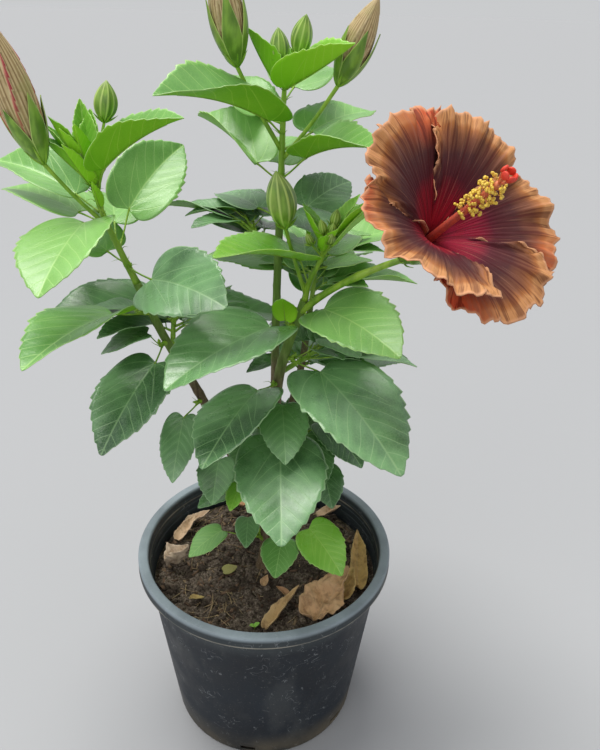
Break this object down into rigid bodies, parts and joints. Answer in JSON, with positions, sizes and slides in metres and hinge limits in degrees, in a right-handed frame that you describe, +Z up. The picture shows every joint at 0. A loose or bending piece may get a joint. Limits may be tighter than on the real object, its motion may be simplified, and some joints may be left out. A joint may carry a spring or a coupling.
{
  "type": "potted hibiscus shrub",
  "caption": "Leafy hibiscus shrub with green and brown stems, buds and an open funnel-shaped bloom, growing in a round nursery pot of soil.",
  "frame": {"origin": "middle of the pot's flat underside", "axes": "+Z straight up the pot's axis, +Y away from the viewer of the picture, +X to that viewer's right, on the bloom's side"},
  "size_m": [0.4467, 0.3335, 0.7162],
  "materials": {
    "pot_plastic": "matte",
    "potting_mix": "matte",
    "bark": "matte",
    "green_bark": "satin",
    "foliage": "satin",
    "petals": "matte",
    "dry_leaf": "matte"
  },
  "bodies": {
    "root": {"pot": "pot_plastic", "soil": "potting_mix", "trunk": "bark", "left_bough": "green_bark", "tall_bough": "green_bark", "rear_bough": "green_bark", "left_crown": "foliage", "left_side_foliage": "foliage", "left_low_foliage": "foliage", "tall_crown": "foliage", "tall_side_foliage": "foliage", "centre_crown": "foliage", "upper_left_foliage": "foliage", "upper_right_foliage": "foliage", "middle_right_foliage": "foliage", "middle_left_foliage": "foliage", "front_foliage": "foliage", "low_left_foliage": "foliage", "foot_left_foliage": "foliage", "low_right_foliage": "foliage", "left_sucker": "foliage", "right_sucker": "foliage", "rear_crown": "foliage", "rear_middle_foliage": "foliage", "rear_low_foliage": "foliage", "left_rear_foliage": "foliage", "tall_rear_foliage": "foliage", "right_rear_foliage": "foliage", "right_low_rear_foliage": "foliage", "bloom": "petals", "dry_leaf_1": "dry_leaf", "dry_leaf_2": "dry_leaf", "dry_leaf_3": "dry_leaf", "dry_leaf_4": "dry_leaf"}
  },
  "joints": []
}
